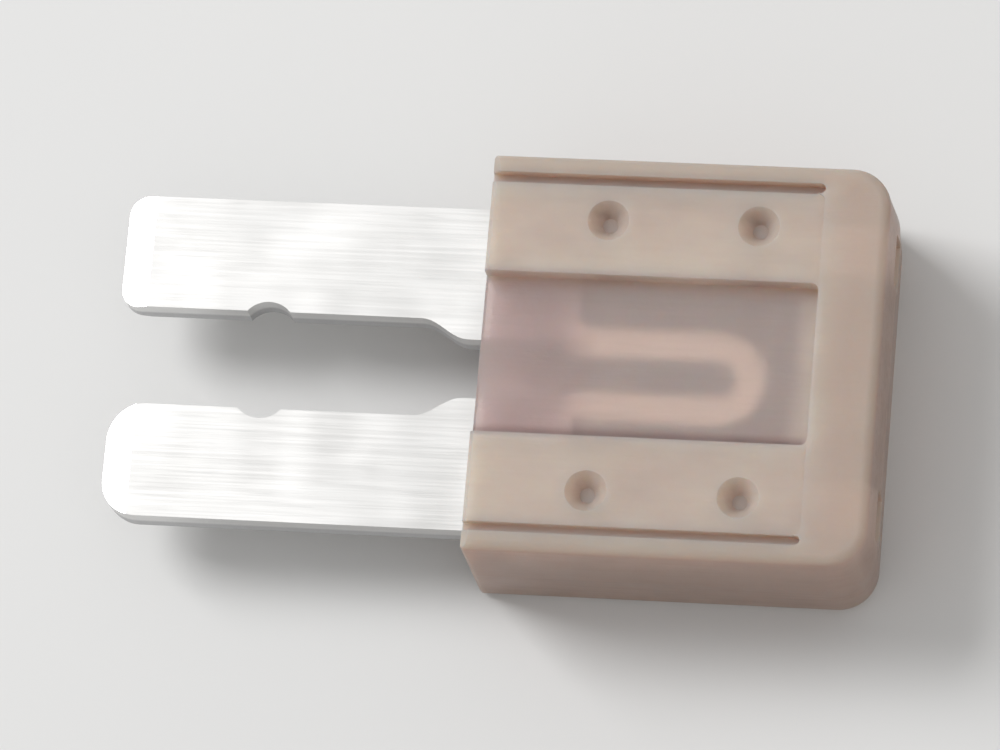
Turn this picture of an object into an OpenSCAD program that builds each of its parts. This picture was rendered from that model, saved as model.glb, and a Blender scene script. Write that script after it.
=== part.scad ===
// Micro two-blade plug-in fuse, lying on the broad face of its housing.
// X runs from the blade tips to the head, Y across the two blades and Z up
// from the face that it lies on. The origin is under the middle of the part.

/* [Housing] */
// Length of the moulded housing, from the blade end to the head
housing_length = 7.9; // [7.2:0.05:9.5]
// Wall of the housing beside the metal, at the parting line
side_wall = 0.76; // [0.6:0.02:1.1]
// Thickness of the housing over its rims and head
housing_thickness = 3.3; // [3:0.05:4.4]
// How far the sides and the head lean in from the parting line to a face
side_draft = 0.08; // [0.02:0.01:0.12]
// Radius of the two head corners, seen from the front
corner_radius = 0.85; // [0.4:0.05:1.3]
// Radius along the outer edges of the faces
edge_radius = 0.2; // [0.08:0.01:0.35]
// Chamfer round the outside of the blade end
mouth_chamfer = 0.14; // [0.05:0.01:0.25]

/* [Moulded faces] */
// Length of the solid head, from the panel to the end
head_length = 1.35; // [0.9:0.05:2]
// Width of the groove between a pad and the rim beside it
groove_width = 0.2; // [0.1:0.01:0.24]
// Depth of that groove under the rim
groove_depth = 0.24; // [0.1:0.01:0.4]
// How far a pad reaches past the outer edge of its terminal
pad_outer_lap = 0.16; // [0.06:0.01:0.22]
// How far a pad reaches past the inner edge of its terminal
pad_inner_lap = 0.26; // [0.1:0.01:0.4]
// How far a pad lies under the rim
pad_sink = 0.06; // [0.02:0.01:0.15]
// Depth of the window between the pads, under the rim
window_depth = 0.45; // [0.25:0.01:0.6]
// Radius of the corners at the head end of the window and the pads
recess_radius = 0.15; // [0.05:0.01:0.25]

/* [Cavity] */
// Thickness of the wall left in the window
window_wall = 0.42; // [0.3:0.01:0.6]
// Clearance round the metal in its slot
slot_clearance = 0.04; // [0.02:0.01:0.06]
// Space between the ends of the metal and the head
end_space = 0.15; // [0.08:0.01:0.3]
// Width of each test-probe well in the head
well_width = 1; // [0.7:0.05:1.2]
// Height of each test-probe well
well_height = 0.86; // [0.78:0.01:1.2]

/* [Stakes] */
// Diameter of the plastic pin that locks the metal
stake_diameter = 0.62; // [0.4:0.01:0.7]
// Clearance round that pin in its hole
stake_clearance = 0.03; // [0.01:0.01:0.05]
// Distance of the first pin from the blade end of the housing
stake_inset = 2.35; // [1.8:0.05:2.8]
// Distance of the last pin from the end of the metal
stake_end = 1.1; // [0.8:0.05:1.4]
// Distance of the pins from the outer edge of the metal
stake_edge = 0.55; // [0.5:0.01:0.75]
// Diameter of a punch mark at the pad
dimple_mouth = 0.82; // [0.6:0.02:1]
// Diameter of the floor of a punch mark
dimple_floor = 0.3; // [0.1:0.02:0.5]
// Depth of a punch mark
dimple_depth = 0.36; // [0.2:0.02:0.55]

/* [Metal] */
// Thickness of the stamped sheet
sheet_thickness = 0.64; // [0.5:0.01:0.72]
// Length of the blades outside the housing
blade_length = 7.4; // [6.4:0.05:9]
// Width of each blade
blade_width = 2.3; // [2:0.05:2.5]
// Space between the two blades
blade_gap = 2; // [1.8:0.05:2.3]
// Tip radius of the blade on the +Y side
left_tip_radius = 0.38; // [0.2:0.02:0.8]
// Tip radius of the blade on the -Y side
right_tip_radius = 0.74; // [0.2:0.02:0.8]
// Length of the pressed lead-in at each tip
lead_in_length = 0.55; // [0.3:0.05:1]
// Thickness left at the edge of a tip
lead_in_edge = 0.36; // [0.2:0.01:0.48]
// Distance of the edge notches from the tips
notch_place = 3; // [2:0.05:4]
// Width of an edge notch
notch_width = 0.86; // [0.5:0.02:1.1]
// Depth of an edge notch
notch_depth = 0.2; // [0.1:0.01:0.3]

/* [Shoulders and link] */
// Space between the two shoulders
shoulder_gap = 1.2; // [0.9:0.05:1.4]
// How far the shoulders reach out of the housing
shoulder_reach = 0.4; // [0.2:0.05:0.8]
// Length of the curve from blade to shoulder
shoulder_slope = 0.95; // [0.4:0.05:1.2]
// How far the shoulders reach into the housing
shoulder_depth = 1.75; // [1.2:0.05:2.2]
// Width of the terminal under its pad
stem_width = 1.4; // [1.3:0.02:1.5]
// Space between the two arms of the fusible link
link_gap = 0.74; // [0.5:0.02:0.86]
// Width of the link
link_width = 0.58; // [0.3:0.01:0.66]
// Length of the slope from the inner edge of a shoulder to the link's
link_lead = 0.45; // [0.2:0.05:0.6]
// Thickness of the link, which is pressed thinner than the sheet
link_thickness = 0.36; // [0.2:0.01:0.48]
// Space between the bend of the link and the window's end
link_space = 1.05; // [0.6:0.05:1.6]
// Radius in the corners beside the link's roots
root_radius = 0.22; // [0.1:0.01:0.27]

/* [Hidden] */
$fn = 64;
cut = 0.5; // how far a cutting shape stands out of what it cuts
nothing = 0.000001; // a width below this is a rounding error
curve_steps = 10; // flats that make up the curve from blade to shoulder

overall_length = blade_length + housing_length;
mouth_x = overall_length / 2 - housing_length;
mid_z = housing_thickness / 2;

panel_length = housing_length - head_length;
metal_outer = blade_gap / 2 + blade_width;
metal_end = panel_length - end_space;
stem_inner = metal_outer - stem_width;
slot_half = metal_outer + slot_clearance;
side_half = slot_half + side_wall;

pad_outer = metal_outer + pad_outer_lap;
window_half = stem_inner - pad_inner_lap;
cavity_half = mid_z - window_depth - window_wall;

link_inner = link_gap / 2;
link_outer = link_inner + link_width;
link_centre = panel_length - link_space - link_outer;
notch_radius = (pow(notch_width / 2, 2) + pow(notch_depth, 2)) / (2 * notch_depth);
slot_height = sheet_thickness + 2 * slot_clearance;

stake_y = metal_outer - stake_edge;
stake_places = [for (x = [stake_inset, metal_end - stake_end], side = [-1, 1]) [x, side * stake_y]];

// From here on, x = 0 is the blade end of the housing and z = 0 its middle.

// What is left of a square corner outside a fillet of radius r
module corner_waste(r) {
    difference() {
        translate([-cut, -cut]) square(r + cut);
        translate([r, r]) circle(r);
    }
}

// A strip that ends at x = length with its two far corners rounded
module round_ended(length, width, r) {
    flat = width - 2 * r;
    translate([-cut, -width / 2]) square([length - r + cut, width]);
    if (flat > nothing) {
        translate([-cut, -flat / 2]) square([length + cut, flat]);
        for (side = [-1, 1]) translate([length - r, side * flat / 2]) circle(r);
    } else {
        translate([length - r, 0]) circle(r);
    }
}

// Upper half of a wall's profile: it starts at x = 0, its outermost point is
// x = reach on the parting line, and it leans in to a rounded edge at the face
module wall_profile_half(reach) {
    lean = atan(side_draft / mid_z);
    z_c = mid_z - edge_radius;
    x_c = reach - (edge_radius + z_c * sin(lean)) / cos(lean);
    polygon([
        [0, 0], [reach, 0],
        [x_c + edge_radius * cos(lean), z_c + edge_radius * sin(lean)],
        [x_c, mid_z], [0, mid_z]
    ]);
    translate([x_c, z_c]) circle(edge_radius);
}

module wall_profile(reach) {
    for (half = [0, 1]) mirror([0, half]) wall_profile_half(reach);
}

// Outer form of the housing: drafted sides and head, round head corners
module outer_form() {
    straight = housing_length - corner_radius;
    corner_y = side_half - corner_radius;
    translate([0, corner_y, 0])
        rotate([90, 0, 0]) linear_extrude(2 * corner_y) wall_profile(housing_length);
    for (half = [0, 1]) mirror([0, half, 0])
        translate([0, corner_y, 0]) {
            rotate([90, 0, 90]) linear_extrude(straight) wall_profile(corner_radius);
            translate([straight, 0, 0]) rotate_extrude() wall_profile(corner_radius);
        }
}

// What a chamfer takes off a corner at x = 0 and y = reach
module chamfer_waste(reach) {
    polygon([
        [-cut, reach - mouth_chamfer - cut],
        [mouth_chamfer + cut, reach + cut],
        [-cut, reach + cut]
    ]);
}

// The chamfers round the outside of the blade end
module mouth_cuts() {
    for (half = [0, 1]) {
        mirror([0, half, 0])
            translate([0, 0, -mid_z - cut])
                linear_extrude(housing_thickness + 2 * cut) chamfer_waste(side_half);
        mirror([0, 0, half])
            translate([0, side_half + cut, 0])
                rotate([90, 0, 0]) linear_extrude(2 * (side_half + cut)) chamfer_waste(mid_z);
    }
}

// A recess of the upper face between two widths, from the blade end to the head
module face_recess(from_y, to_y, depth, r) {
    translate([0, (from_y + to_y) / 2, mid_z - depth])
        linear_extrude(depth + cut)
            round_ended(panel_length, to_y - from_y, r);
}

// Grooves, sunk pads, window and punch marks of the upper face
module face_cuts() {
    face_recess(-window_half, window_half, window_depth, recess_radius);
    for (half = [0, 1]) mirror([0, half, 0]) {
        face_recess(pad_outer, pad_outer + groove_width, groove_depth, groove_width / 2);
        face_recess(0, pad_outer, pad_sink, recess_radius);
    }
    for (place = stake_places)
        translate([place.x, place.y, mid_z - pad_sink - dimple_depth])
            cylinder(h = dimple_depth, d1 = dimple_floor, d2 = dimple_mouth);
}

// Slot for the metal, the open space round the link and the probe wells
module inner_cuts() {
    slot_length = metal_end + slot_clearance;
    translate([-cut, -slot_half, -slot_height / 2])
        cube([slot_length + cut, 2 * slot_half, slot_height]);
    translate([0, 0, -cavity_half])
        linear_extrude(2 * cavity_half)
            round_ended(panel_length, 2 * window_half, root_radius);
    for (side = [-1, 1])
        translate([metal_end, side * (stem_inner + stem_width / 2) - well_width / 2, -well_height / 2])
            cube([housing_length - metal_end + cut, well_width, well_height]);
}

module housing() {
    color([0.74, 0.68, 0.62, 0.75])
        translate([mouth_x, 0, mid_z]) {
            difference() {
                outer_form();
                mouth_cuts();
                inner_cuts();
                for (turn = [0, 180]) rotate([turn, 0, 0]) face_cuts();
            }
            for (place = stake_places)
                translate([place.x, place.y, -slot_height / 2])
                    cylinder(h = slot_height, d = stake_diameter);
        }
}

// Outline of one blade with its shoulder and the terminal inside the housing
module terminal_outline(tip_radius) {
    root = shoulder_depth + root_radius;
    inner_curve = [for (i = [0:curve_steps])
        [-shoulder_reach - shoulder_slope * (1 - i / curve_steps),
         (blade_gap + shoulder_gap + (blade_gap - shoulder_gap) * cos(180 * i / curve_steps)) / 4]];
    difference() {
        union() {
            translate([-blade_length, blade_gap / 2]) square([blade_length, blade_width]);
            translate([0, stem_inner]) square([metal_end, stem_width]);
            polygon(concat(inner_curve, [
                [root, shoulder_gap / 2],
                [root, metal_outer],
                [-shoulder_reach - shoulder_slope, metal_outer]
            ]));
        }
        translate([shoulder_depth, (stem_inner + link_outer) / 2])
            mirror([1, 0])
                translate([-metal_end, 0])
                    round_ended(metal_end, stem_inner - link_outer, root_radius);
        translate([-blade_length, blade_gap / 2]) corner_waste(tip_radius);
        translate([-blade_length, metal_outer]) mirror([0, 1]) corner_waste(tip_radius);
        translate([notch_place - blade_length, blade_gap / 2 + notch_depth - notch_radius])
            circle(notch_radius);
        for (place = stake_places)
            translate(place) circle(d = stake_diameter + 2 * stake_clearance);
    }
}

// The U-shaped link: its two arms start with a slope inside the shoulders
module link_outline() {
    arm_length = link_centre - shoulder_depth;
    difference() {
        union() {
            translate([shoulder_depth, -link_outer]) square([arm_length, 2 * link_outer]);
            translate([link_centre, 0]) circle(link_outer);
        }
        translate([shoulder_depth - cut, -link_inner]) square([arm_length + cut, link_gap]);
        translate([link_centre, 0]) circle(link_inner);
    }
    for (half = [0, 1]) mirror([0, half])
        polygon([
            [shoulder_depth, link_inner],
            [shoulder_depth, shoulder_gap - link_inner],
            [shoulder_depth - 2 * link_lead, shoulder_gap - link_inner]
        ]);
}

// Side view of the sheet, pressed thinner towards the blade tips
module sheet_profile() {
    thick = sheet_thickness / 2;
    thin = lead_in_edge / 2;
    start = lead_in_length - blade_length;
    polygon([
        [-blade_length, -thin], [start, -thick], [metal_end, -thick],
        [metal_end, thick], [start, thick], [-blade_length, thin]
    ]);
}

module fuse_element() {
    color("gainsboro")
        translate([mouth_x, 0, mid_z]) {
            intersection() {
                translate([0, 0, -sheet_thickness / 2])
                    linear_extrude(sheet_thickness) {
                        terminal_outline(left_tip_radius);
                        mirror([0, 1]) terminal_outline(right_tip_radius);
                    }
                translate([0, metal_outer, 0])
                    rotate([90, 0, 0]) linear_extrude(2 * metal_outer) sheet_profile();
            }
            translate([0, 0, -link_thickness / 2]) linear_extrude(link_thickness) link_outline();
        }
}

housing();
fuse_element();
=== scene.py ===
import math

import bpy
from mathutils import Matrix, Vector


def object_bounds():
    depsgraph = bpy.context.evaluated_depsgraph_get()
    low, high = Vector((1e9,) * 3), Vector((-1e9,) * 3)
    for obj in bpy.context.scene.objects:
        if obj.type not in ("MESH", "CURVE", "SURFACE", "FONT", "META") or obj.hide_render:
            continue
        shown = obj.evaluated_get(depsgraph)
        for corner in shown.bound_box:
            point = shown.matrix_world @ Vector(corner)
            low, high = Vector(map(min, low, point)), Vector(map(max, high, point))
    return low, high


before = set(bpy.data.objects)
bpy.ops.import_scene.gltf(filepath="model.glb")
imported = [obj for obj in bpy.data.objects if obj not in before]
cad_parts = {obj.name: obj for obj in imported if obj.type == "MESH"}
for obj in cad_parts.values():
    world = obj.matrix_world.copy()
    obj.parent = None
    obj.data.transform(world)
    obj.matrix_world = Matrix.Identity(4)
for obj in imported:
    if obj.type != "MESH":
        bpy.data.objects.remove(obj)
cad_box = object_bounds()

MM = 0.001

# Camera: the directions of the picture's right and down in the part's frame
PICTURE_RIGHT = Vector((0.988, 0.085, -0.125))
PICTURE_DOWN = Vector((0.045, -0.950, -0.305))
CAMERA_DISTANCE = 140 * MM
FRAME_WIDTH = 19.6 * MM
NEAREST_SEEN = 1 * MM
SENSOR_WIDTH_MM = 36.0

# Lights: the direction from the part, the width and the watts
LIGHTS = {
    "key_light": ((-0.63, 0.31, 0.70), 130 * MM, 0.63),
    "overhead_panel": ((-0.42, 0.38, 0.88), 150 * MM, 0.02),
}
LIGHT_DISTANCE = 300 * MM
STUDIO_COLOUR = (1.0, 0.995, 0.985, 1)
HORIZON_TO_TOP = (0.0, 1.0)
STUDIO_STRENGTHS = (0.38, 0.62)

FLOOR_HALF_WIDTH = 400 * MM
FLOOR_GAP = 0.01 * MM

# How hard edges are broken
EDGE_BREAK = 0.035 * MM
EDGE_SEGMENTS = 2
HARD_EDGE_DEGREES = 55
WELD_DISTANCE = 0.0005 * MM

# Places in the part's frame where its finish changes
MOUTH_X = -0.25 * MM
PANEL_END_X = 6.3 * MM
HEAD_X = 7.65 * MM
SIDE_Y = 4.1 * MM
WINDOW_Y = 1.64 * MM
GROOVE_YS = (3.46 * MM, 3.66 * MM)
MARK_XS = (2.1 * MM, 5.05 * MM)
MARK_Y = 2.75 * MM
MIDDLE_Z = 1.65 * MM
LINK_START_X = 1.5 * MM
LINK_OUTER_Y = 0.95 * MM
SHEET_BOTTOM_Z = 1.33 * MM

# Bands over which a finish of the plastic, painted shade among them, comes or goes, each from its
# start to its end
WINDOW_SIDE_BAND = (WINDOW_Y - 0.15 * MM, WINDOW_Y + 0.15 * MM)
WINDOW_HEAD_BAND = (PANEL_END_X - 0.6 * MM, PANEL_END_X + 0.1 * MM)
WINDOW_MOUTH_BAND = (MOUTH_X + 0.25 * MM, LINK_START_X + 1.5 * MM)
RIM_SIDE_BAND = (GROOVE_YS[0], GROOVE_YS[1] + 0.1 * MM)
RIM_HEAD_BAND = (PANEL_END_X - 0.1 * MM, PANEL_END_X + 0.7 * MM)
GROOVE_START_BAND = (GROOVE_YS[0] - 0.04 * MM, GROOVE_YS[0] + 0.02 * MM)
GROOVE_END_BAND = (GROOVE_YS[1] - 0.02 * MM, GROOVE_YS[1] + 0.04 * MM)
GROOVE_MOUTH_BAND = (MIDDLE_Z - 0.19 * MM, MIDDLE_Z - 0.09 * MM)
CREASE_START_BAND = (-WINDOW_Y - 0.02 * MM, -WINDOW_Y + 0.02 * MM)
CREASE_END_BAND = (-WINDOW_Y + 0.12 * MM, -WINDOW_Y + 0.32 * MM)
CREASE_HEAD_BAND = (PANEL_END_X - 0.2 * MM, PANEL_END_X)
SIDE_WALL_BAND = (SIDE_Y - 0.7 * MM, SIDE_Y - 0.05 * MM)
HEAD_WALL_BAND = (HEAD_X - 0.6 * MM, HEAD_X - 0.05 * MM)
MARK_BAND = (0.12 * MM, 0.34 * MM)

# The same for the metal
LINK_SIDE_BAND = (LINK_OUTER_Y, LINK_OUTER_Y + 0.3 * MM)
LINK_START_BAND = (LINK_START_X - 0.3 * MM, LINK_START_X + 0.3 * MM)
COVER_MOUTH_BAND = (MOUTH_X - 0.05 * MM, MOUTH_X + 0.05 * MM)
COVER_LINK_BAND = (LINK_START_X - 0.7 * MM, LINK_START_X + 0.3 * MM)
COVER_SIDE_BAND = (WINDOW_Y, WINDOW_Y + 0.3 * MM)
TORN_BAND = (SHEET_BOTTOM_Z + 0.22 * MM, SHEET_BOTTOM_Z + 0.36 * MM)

# How far a face turns from upright to flat, as the size of its normal's z
WALL_TURN = (0.2, 0.8)
SHEARED_TURN = (0.25, 0.7)

# Colours, as linear red, green and blue
PAD_COLOUR = (0.875, 0.775, 0.68, 1)
CLOUD_COLOUR = (0.76, 0.65, 0.58, 1)
# painted shade with a warm painted reflection on the rims and the head
RIM_SHADE_COLOUR = (0.79, 0.65, 0.56, 1)
# painted shade with a warm painted reflection on the upright walls
WALL_SHADE_COLOUR = (0.55, 0.375, 0.305, 1)
WINDOW_COLOUR = (0.955, 0.80, 0.765, 1)
# painted shade in the window towards the mouth
WINDOW_MOUTH_SHADE_COLOUR = (0.855, 0.695, 0.675, 1)
# painted shade in the punch marks and the grooves
HOLLOW_SHADE_COLOUR = (0.70, 0.59, 0.52, 1)
# painted shade along one long side of the window
CREASE_SHADE_COLOUR = (0.46, 0.335, 0.32, 1)
DEPTH_COLOUR = (0.70, 0.40, 0.28, 1)
TIN_COLOUR = (0.80, 0.795, 0.785, 1)
TIN_SHADE_COLOUR = (0.66, 0.66, 0.655, 1)
LINK_COLOUR = (0.97, 0.985, 0.85, 1)
# painted shade on the metal behind the window
COVERED_SHADE_COLOUR = (0.36, 0.31, 0.325, 1)
SHEARED_COLOUR = (0.55, 0.55, 0.555, 1)
FLOOR_COLOUR = (0.74, 0.74, 0.735, 1)
FLOOR_TONE_COLOUR = (0.69, 0.69, 0.69, 1)

# How much of its colour each finish and each painted shade gives at most
RIM_SHADE_TINT = 0.8
CREASE_SHADE_TINT = 0.85
WALL_SHADE_TINT = 0.75
MARK_SHADE_TINT = 0.85
STREAK_TINT = 0.22
BLOTCH_TINT = 0.45
SCUFF_TINT = 0.5
COVER_SHADE_TINT = 0.85
SMOOTH_SHEAR_TINT = 0.25
FLOOR_TINT = 0.5

# Textures: the width of a blob, its detail and how far it is stretched along the axes
CLOUDS = {"size": 1.3 * MM, "detail": 3.0, "stretch": (1.8, 1, 1)}
STREAKS = {"size": 0.14 * MM, "detail": 3.0, "stretch": (14, 1, 1)}
SMEARS = {"size": 0.8 * MM, "detail": 4.0}
GRAIN = {"size": 0.09 * MM, "detail": 2.0}
SINKS = {"size": 1.4 * MM, "detail": 1.0}
ROLLING_LINES = {"size": 0.045 * MM, "detail": 3.0, "stretch": (60, 1, 1)}
BLOTCHES = {"size": 0.8 * MM, "detail": 4.0, "stretch": (1.6, 1, 1)}
SCUFFS = {"size": 0.05 * MM, "detail": 1.0, "stretch": (26, 1, 1)}
TORN_METAL = {"size": 0.05 * MM, "detail": 3.0, "stretch": (1, 1, 8)}
SHEET_WAVES = {"size": 2.2 * MM, "detail": 1.0}
FLOOR_TONES = {"size": 25 * MM, "detail": 2.0}

# The levels of a texture between which it takes effect
CLOUD_LEVELS = (0.35, 0.68)
STREAK_LEVELS = (0.52, 0.75)
ROUGH_STREAK_LEVELS = (0.5, 0.75)
BLOTCH_LEVELS = (0.38, 0.72)
SCUFF_LEVELS = (0.66, 0.74)
ROLLING_LEVELS = (0.4, 0.7)
EVEN_LEVELS = (0.3, 0.7)

# Depths of the relief
GRAIN_DEPTH = 0.005 * MM
STREAK_DEPTH = 0.01 * MM
SINK_DEPTH = 0.05 * MM
ROLLING_DEPTH = 0.0022 * MM
TORN_DEPTH = 0.012 * MM
WAVE_DEPTH = 0.045 * MM

# Gloss, and what the plastic does to light
PLASTIC_ROUGHNESS = (0.3, 0.42)
STREAK_ROUGHNESS = 0.1
PLASTIC_IOR = 1.5
PAD_TO_WINDOW_CLEARNESS = (0.52, 0.78)
SCATTER_COLOUR = (1.0, 0.76, 0.6)
SCATTER_DEPTH = 0.8 * MM
DEPTH_DENSITY = 50
TIN_ROUGHNESS = (0.285, 0.36)
ROLLING_ROUGHNESS = 0.07
SHEARED_ROUGHNESS = 0.2
FLOOR_ROUGHNESS = 0.65

# Sockets of a Mix node that mixes colours
MIX_FACTOR, MIX_FIRST, MIX_SECOND, MIX_RESULT = 0, 6, 7, 2


def make(tree, kind, inputs=None, **settings):
    """A shader node. An input's value is a constant or the output socket that feeds it."""
    node = tree.nodes.new("ShaderNode" + kind)
    for name, value in settings.items():
        setattr(node, name, value)
    for name, value in (inputs or {}).items():
        feed(tree, node.inputs[name], value)
    return node


def feed(tree, socket, value):
    """Sets an input to a constant, or links it to the output that feeds it."""
    if isinstance(value, bpy.types.NodeSocket):
        tree.links.new(value, socket)
    else:
        socket.default_value = value


def mix_colours(tree, factor, first, second):
    """A colour between two, by a factor from 0 to 1."""
    node = make(tree, "Mix", data_type="RGBA")
    feed(tree, node.inputs[MIX_FACTOR], factor)
    feed(tree, node.inputs[MIX_FIRST], first)
    feed(tree, node.inputs[MIX_SECOND], second)
    return node.outputs[MIX_RESULT]


def ramp(tree, value, band, ends, interpolation="LINEAR"):
    """Goes from the first end to the second while a value crosses a band."""
    node = make(tree, "MapRange", {
        "Value": value,
        "From Min": band[0],
        "From Max": band[1],
        "To Min": ends[0],
        "To Max": ends[1],
    }, interpolation_type=interpolation)
    return node.outputs["Result"]


def rising(tree, value, band, top=1.0):
    """Goes smoothly from 0 to the top while a value crosses a band."""
    return ramp(tree, value, band, (0.0, top), "SMOOTHSTEP")


def falling(tree, value, band, top=1.0):
    """Goes smoothly from the top to 0 while a value crosses a band."""
    return ramp(tree, value, band, (top, 0.0), "SMOOTHSTEP")


def maths(tree, operation, first, second=0.0):
    """One arithmetic step on two values."""
    node = make(tree, "Math", operation=operation)
    feed(tree, node.inputs[0], first)
    feed(tree, node.inputs[1], second)
    return node.outputs["Value"]


def product(tree, first, *others):
    """Several values multiplied."""
    for other in others:
        first = maths(tree, "MULTIPLY", first, other)
    return first


def vector_maths(tree, operation, first, second=None):
    """One arithmetic step on one or two vectors."""
    node = make(tree, "VectorMath", operation=operation)
    feed(tree, node.inputs[0], first)
    if second is not None:
        feed(tree, node.inputs[1], second)
    return node


def noise(tree, place, size, detail, stretch=(1, 1, 1)):
    """Noise whose blobs are about size metres across, stretched along the axes."""
    scaled = make(tree, "Mapping", {
        "Vector": place, "Scale": [1 / (size * factor) for factor in stretch],
    })
    node = make(tree, "TexNoise", {
        "Vector": scaled.outputs["Vector"], "Scale": 1.0, "Detail": detail,
    })
    return node.outputs["Fac"]


def bump(tree, height, depth, normal=None):
    """Relief from a height between 0 and 1, depth metres deep, on top of another relief."""
    inputs = {"Height": height, "Strength": 1.0, "Distance": depth}
    if normal is not None:
        inputs["Normal"] = normal
    return make(tree, "Bump", inputs).outputs["Normal"]


def axes_of(tree, vector):
    """The x, y and z of a vector."""
    split = make(tree, "SeparateXYZ", {"Vector": vector})
    return split.outputs["X"], split.outputs["Y"], split.outputs["Z"]


def flatness(tree):
    """0 on an upright face and 1 on a level one."""
    normal = make(tree, "NewGeometry").outputs["True Normal"]
    return maths(tree, "ABSOLUTE", axes_of(tree, normal)[2])


def new_material(name):
    """An empty material with its tree, its place in the part's frame and its output node."""
    material = bpy.data.materials.new(name)
    material.use_nodes = True
    tree = material.node_tree
    tree.nodes.clear()
    place = make(tree, "TexCoord").outputs["Object"]
    output = make(tree, "OutputMaterial")
    return material, tree, place, output


def in_window(tree, x, away):
    """1 in the thin window and 0 round it."""
    return product(
        tree,
        falling(tree, away, WINDOW_SIDE_BAND),
        falling(tree, x, WINDOW_HEAD_BAND),
    )


def painted_rim_shade(tree, x, away):
    """Painted shade with a warm painted reflection on the rims outside the grooves and on the head.
    """
    return maths(
        tree, "MAXIMUM",
        rising(tree, away, RIM_SIDE_BAND, RIM_SHADE_TINT),
        rising(tree, x, RIM_HEAD_BAND, RIM_SHADE_TINT),
    )


def painted_shade_in_grooves(tree, away, z):
    """1 on the floors of the grooves beside the pads, where shade is painted."""
    height = maths(tree, "ABSOLUTE", maths(tree, "SUBTRACT", z, MIDDLE_Z))
    return product(
        tree,
        ramp(tree, away, GROOVE_START_BAND, (0.0, 1.0)),
        ramp(tree, away, GROOVE_END_BAND, (1.0, 0.0)),
        falling(tree, height, GROOVE_MOUTH_BAND),
    )


def painted_crease_shade(tree, x, y):
    """Painted shade: a dark line along one long side of the window."""
    return product(
        tree,
        ramp(tree, y, CREASE_START_BAND, (0.0, CREASE_SHADE_TINT)),
        falling(tree, y, CREASE_END_BAND),
        falling(tree, x, CREASE_HEAD_BAND),
    )


def painted_wall_shade(tree, x, away):
    """Painted shade with a warm painted reflection on the upright walls at the sides and the head.
    """
    near = maths(
        tree, "MAXIMUM",
        rising(tree, away, SIDE_WALL_BAND),
        rising(tree, x, HEAD_WALL_BAND),
    )
    return product(tree, near, falling(tree, flatness(tree), WALL_TURN, WALL_SHADE_TINT))


def painted_shade_in_marks(tree, place):
    """Painted shade in the four punch marks, deepest at their floors."""
    tint = 0.0
    for x in MARK_XS:
        for y in (-MARK_Y, MARK_Y):
            offset = vector_maths(tree, "SUBTRACT", place, (x, y, 0.0))
            flat = vector_maths(tree, "MULTIPLY", offset.outputs["Vector"], (1.0, 1.0, 0.0))
            length = vector_maths(tree, "LENGTH", flat.outputs["Vector"])
            here = falling(tree, length.outputs["Value"], MARK_BAND, MARK_SHADE_TINT)
            tint = maths(tree, "MAXIMUM", tint, here)
    return tint


def milky_plastic():
    """See-through moulding plastic: hazy where it is thick, clearer in the thin window."""
    material, tree, place, output = new_material("milky_plastic")
    x, y, z = axes_of(tree, place)
    away = maths(tree, "ABSOLUTE", y)
    window = in_window(tree, x, away)
    clouds = noise(tree, place, **CLOUDS)
    streaks = noise(tree, place, **STREAKS)
    smears = noise(tree, place, **SMEARS)

    # painted shade: the window pane is darker towards the mouth
    pane = mix_colours(tree, falling(tree, x, WINDOW_MOUTH_BAND), WINDOW_COLOUR, WINDOW_MOUTH_SHADE_COLOUR)
    cloudy = ramp(tree, clouds, CLOUD_LEVELS, (0.0, 1.0))
    streaky = ramp(tree, streaks, STREAK_LEVELS, (0.0, STREAK_TINT))
    colour = mix_colours(tree, cloudy, PAD_COLOUR, CLOUD_COLOUR)
    colour = mix_colours(tree, window, colour, pane)
    # painted shade: a dark line along one long side of the window
    colour = mix_colours(tree, painted_crease_shade(tree, x, y), colour, CREASE_SHADE_COLOUR)
    colour = mix_colours(tree, streaky, colour, CLOUD_COLOUR)
    # painted shade with a warm painted reflection on the rims and the head
    colour = mix_colours(tree, painted_rim_shade(tree, x, away), colour, RIM_SHADE_COLOUR)
    # painted shade on the floors of the grooves
    colour = mix_colours(tree, painted_shade_in_grooves(tree, away, z), colour, HOLLOW_SHADE_COLOUR)
    # painted shade on the upright walls, darker where a face stands upright
    colour = mix_colours(tree, painted_wall_shade(tree, x, away), colour, WALL_SHADE_COLOUR)
    # painted shade in the punch marks
    colour = mix_colours(tree, painted_shade_in_marks(tree, place), colour, HOLLOW_SHADE_COLOUR)

    roughness = maths(
        tree, "ADD",
        ramp(tree, smears, EVEN_LEVELS, PLASTIC_ROUGHNESS),
        ramp(tree, streaks, ROUGH_STREAK_LEVELS, (0.0, STREAK_ROUGHNESS)),
    )
    relief = bump(tree, noise(tree, place, **GRAIN), GRAIN_DEPTH)
    relief = bump(tree, streaks, STREAK_DEPTH, relief)
    relief = bump(tree, noise(tree, place, **SINKS), SINK_DEPTH, relief)

    shader = make(tree, "BsdfPrincipled", {
        "Base Color": colour,
        "Roughness": roughness,
        "IOR": PLASTIC_IOR,
        "Transmission Weight": ramp(tree, window, (0.0, 1.0), PAD_TO_WINDOW_CLEARNESS),
        "Subsurface Weight": 1.0,
        "Subsurface Radius": SCATTER_COLOUR,
        "Subsurface Scale": SCATTER_DEPTH,
        "Normal": relief,
    })
    depth = make(tree, "VolumeAbsorption", {"Color": DEPTH_COLOUR, "Density": DEPTH_DENSITY})
    tree.links.new(shader.outputs["BSDF"], output.inputs["Surface"])
    tree.links.new(depth.outputs["Volume"], output.inputs["Volume"])
    return material


def on_link(tree, x, away):
    """1 on the fusible link and 0 on the rest of the sheet."""
    return product(tree, falling(tree, away, LINK_SIDE_BAND), rising(tree, x, LINK_START_BAND))


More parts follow.
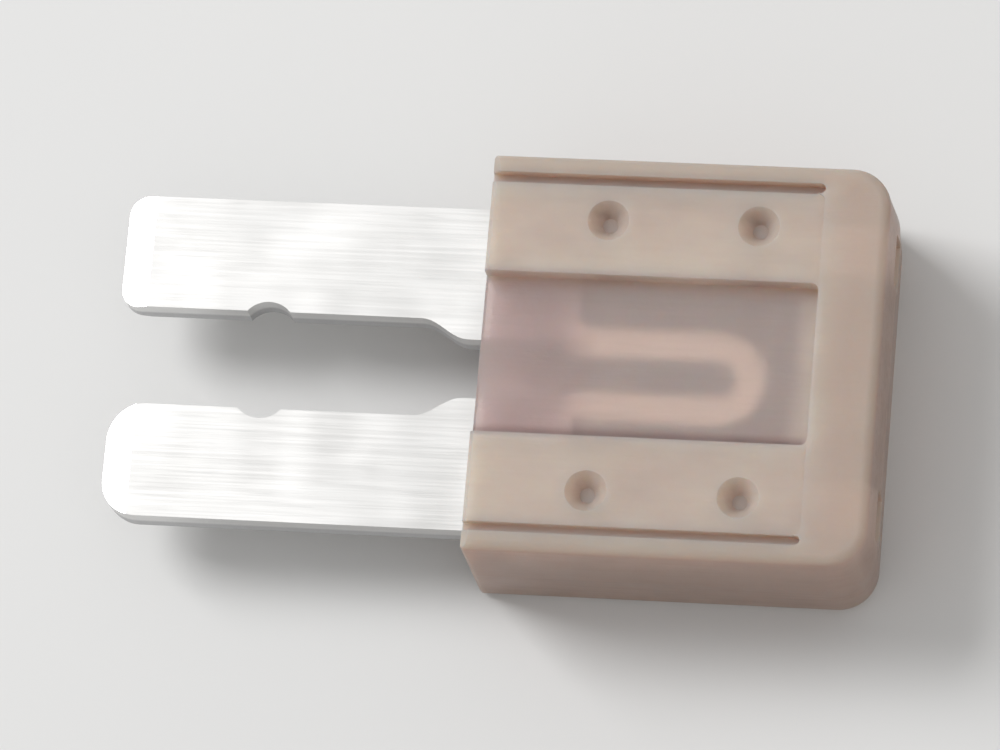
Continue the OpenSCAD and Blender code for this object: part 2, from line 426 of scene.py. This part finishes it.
def painted_shade_under_window(tree, x, away):
    """Painted shade on the metal behind the window, between the mouth and the link, starting with a
    painted contact shadow at the mouth.
    """
    return product(
        tree,
        rising(tree, x, COVER_MOUTH_BAND, COVER_SHADE_TINT),
        falling(tree, x, COVER_LINK_BAND),
        falling(tree, away, COVER_SIDE_BAND),
    )


def plated_metal():
    """Bright tin plate on a rolled and stamped sheet, with duller sheared edges."""
    material, tree, place, output = new_material("plated_metal")
    x, y, z = axes_of(tree, place)
    away = maths(tree, "ABSOLUTE", y)
    rolling = noise(tree, place, **ROLLING_LINES)
    blotches = noise(tree, place, **BLOTCHES)
    scuffs = noise(tree, place, **SCUFFS)

    upright = ramp(tree, flatness(tree), SHEARED_TURN, (1.0, 0.0))
    torn = ramp(tree, z, TORN_BAND, (1.0, SMOOTH_SHEAR_TINT), "SMOOTHSTEP")
    sheared = product(tree, upright, torn)

    blotchy = ramp(tree, blotches, BLOTCH_LEVELS, (0.0, BLOTCH_TINT))
    scuffed = ramp(tree, scuffs, SCUFF_LEVELS, (0.0, SCUFF_TINT))
    colour = mix_colours(tree, blotchy, TIN_COLOUR, TIN_SHADE_COLOUR)
    colour = mix_colours(tree, scuffed, colour, TIN_SHADE_COLOUR)
    colour = mix_colours(tree, on_link(tree, x, away), colour, LINK_COLOUR)
    # painted shade on the metal behind the window, with a painted contact shadow at the mouth
    colour = mix_colours(tree, painted_shade_under_window(tree, x, away), colour, COVERED_SHADE_COLOUR)
    colour = mix_colours(tree, sheared, colour, SHEARED_COLOUR)

    roughness = ramp(tree, blotches, EVEN_LEVELS, TIN_ROUGHNESS)
    roughness = maths(
        tree, "ADD", roughness,
        ramp(tree, rolling, ROLLING_LEVELS, (0.0, ROLLING_ROUGHNESS)),
    )
    roughness = maths(tree, "ADD", roughness, product(tree, sheared, SHEARED_ROUGHNESS))

    torn_depth = product(tree, sheared, TORN_DEPTH)
    relief = bump(tree, rolling, ROLLING_DEPTH)
    relief = bump(tree, noise(tree, place, **TORN_METAL), torn_depth, relief)
    relief = bump(tree, noise(tree, place, **SHEET_WAVES), WAVE_DEPTH, relief)

    shader = make(tree, "BsdfPrincipled", {
        "Base Color": colour,
        "Metallic": 1.0,
        "Roughness": roughness,
        "Normal": relief,
    })
    tree.links.new(shader.outputs["BSDF"], output.inputs["Surface"])
    return material


def pale_floor():
    """A plain pale surface with a barely visible tone."""
    material, tree, place, output = new_material("pale_floor")
    tone = ramp(tree, noise(tree, place, **FLOOR_TONES), EVEN_LEVELS, (0.0, FLOOR_TINT))
    colour = mix_colours(tree, tone, FLOOR_COLOUR, FLOOR_TONE_COLOUR)
    shader = make(tree, "BsdfPrincipled", {"Base Color": colour, "Roughness": FLOOR_ROUGHNESS})
    tree.links.new(shader.outputs["BSDF"], output.inputs["Surface"])
    return material


def dress(node_name, material):
    """Gives a CAD node its finish, and breaks its hard edges as the real piece's are."""
    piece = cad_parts[node_name]
    piece.data.materials.clear()
    piece.data.materials.append(material)
    weld = piece.modifiers.new("weld", "WELD")
    weld.merge_threshold = WELD_DISTANCE
    bevel = piece.modifiers.new("edges", "BEVEL")
    bevel.width = EDGE_BREAK
    bevel.segments = EDGE_SEGMENTS
    bevel.limit_method = "ANGLE"
    bevel.angle_limit = math.radians(HARD_EDGE_DEGREES)
    bevel.harden_normals = True


def build_floor(ground):
    """One large square just under the part."""
    mesh = bpy.data.meshes.new("floor")
    signs = ((-1, -1), (1, -1), (1, 1), (-1, 1))
    corners = [(a * FLOOR_HALF_WIDTH, b * FLOOR_HALF_WIDTH, 0) for a, b in signs]
    mesh.from_pydata(corners, [], [(0, 1, 2, 3)])
    mesh.materials.append(pale_floor())
    floor = bpy.data.objects.new("floor", mesh)
    bpy.context.scene.collection.objects.link(floor)
    floor.location.z = ground - FLOOR_GAP


def softbox(name, direction, width, watts, target):
    """A square area light that looks at the target from a direction."""
    light = bpy.data.lights.new(name, "AREA")
    light.shape = "SQUARE"
    light.size = width
    light.energy = watts
    holder = bpy.data.objects.new(name, light)
    bpy.context.scene.collection.objects.link(holder)
    away = Vector(direction).normalized()
    holder.location = target + away * LIGHT_DISTANCE
    holder.rotation_euler = away.to_track_quat("Z", "Y").to_euler()


def build_lights(target):
    """A pale studio that is brighter above than at the horizon, and its softboxes."""
    world = bpy.data.worlds.new("studio")
    bpy.context.scene.world = world
    world.use_nodes = True
    tree = world.node_tree
    background = tree.nodes["Background"]
    background.inputs["Color"].default_value = STUDIO_COLOUR
    height = axes_of(tree, make(tree, "TexCoord").outputs["Generated"])[2]
    strength = ramp(tree, height, HORIZON_TO_TOP, STUDIO_STRENGTHS)
    feed(tree, background.inputs["Strength"], strength)
    for name, (direction, width, watts) in LIGHTS.items():
        softbox(name, direction, width, watts, target)


def build_camera(target):
    """A camera at the photograph's angle, with the part filling its frame."""
    right = PICTURE_RIGHT.normalized()
    up = -(PICTURE_DOWN - PICTURE_DOWN.dot(right) * right).normalized()
    back = right.cross(up)
    camera = bpy.data.cameras.new("camera")
    camera.sensor_width = SENSOR_WIDTH_MM
    camera.lens = SENSOR_WIDTH_MM * CAMERA_DISTANCE / FRAME_WIDTH
    camera.clip_start = NEAREST_SEEN
    holder = bpy.data.objects.new("camera", camera)
    bpy.context.scene.collection.objects.link(holder)
    turned = Matrix((right, up, back)).transposed().to_4x4()
    holder.matrix_world = Matrix.Translation(target + back * CAMERA_DISTANCE) @ turned
    bpy.context.scene.camera = holder


low, high = (Vector(corner) for corner in cad_box)
middle = (low + high) / 2

build_camera(middle)
build_lights(middle)
build_floor(low.z)
dress("housing", milky_plastic())
dress("fuse_element", plated_metal())

bpy.context.scene.view_settings.view_transform = "Standard"
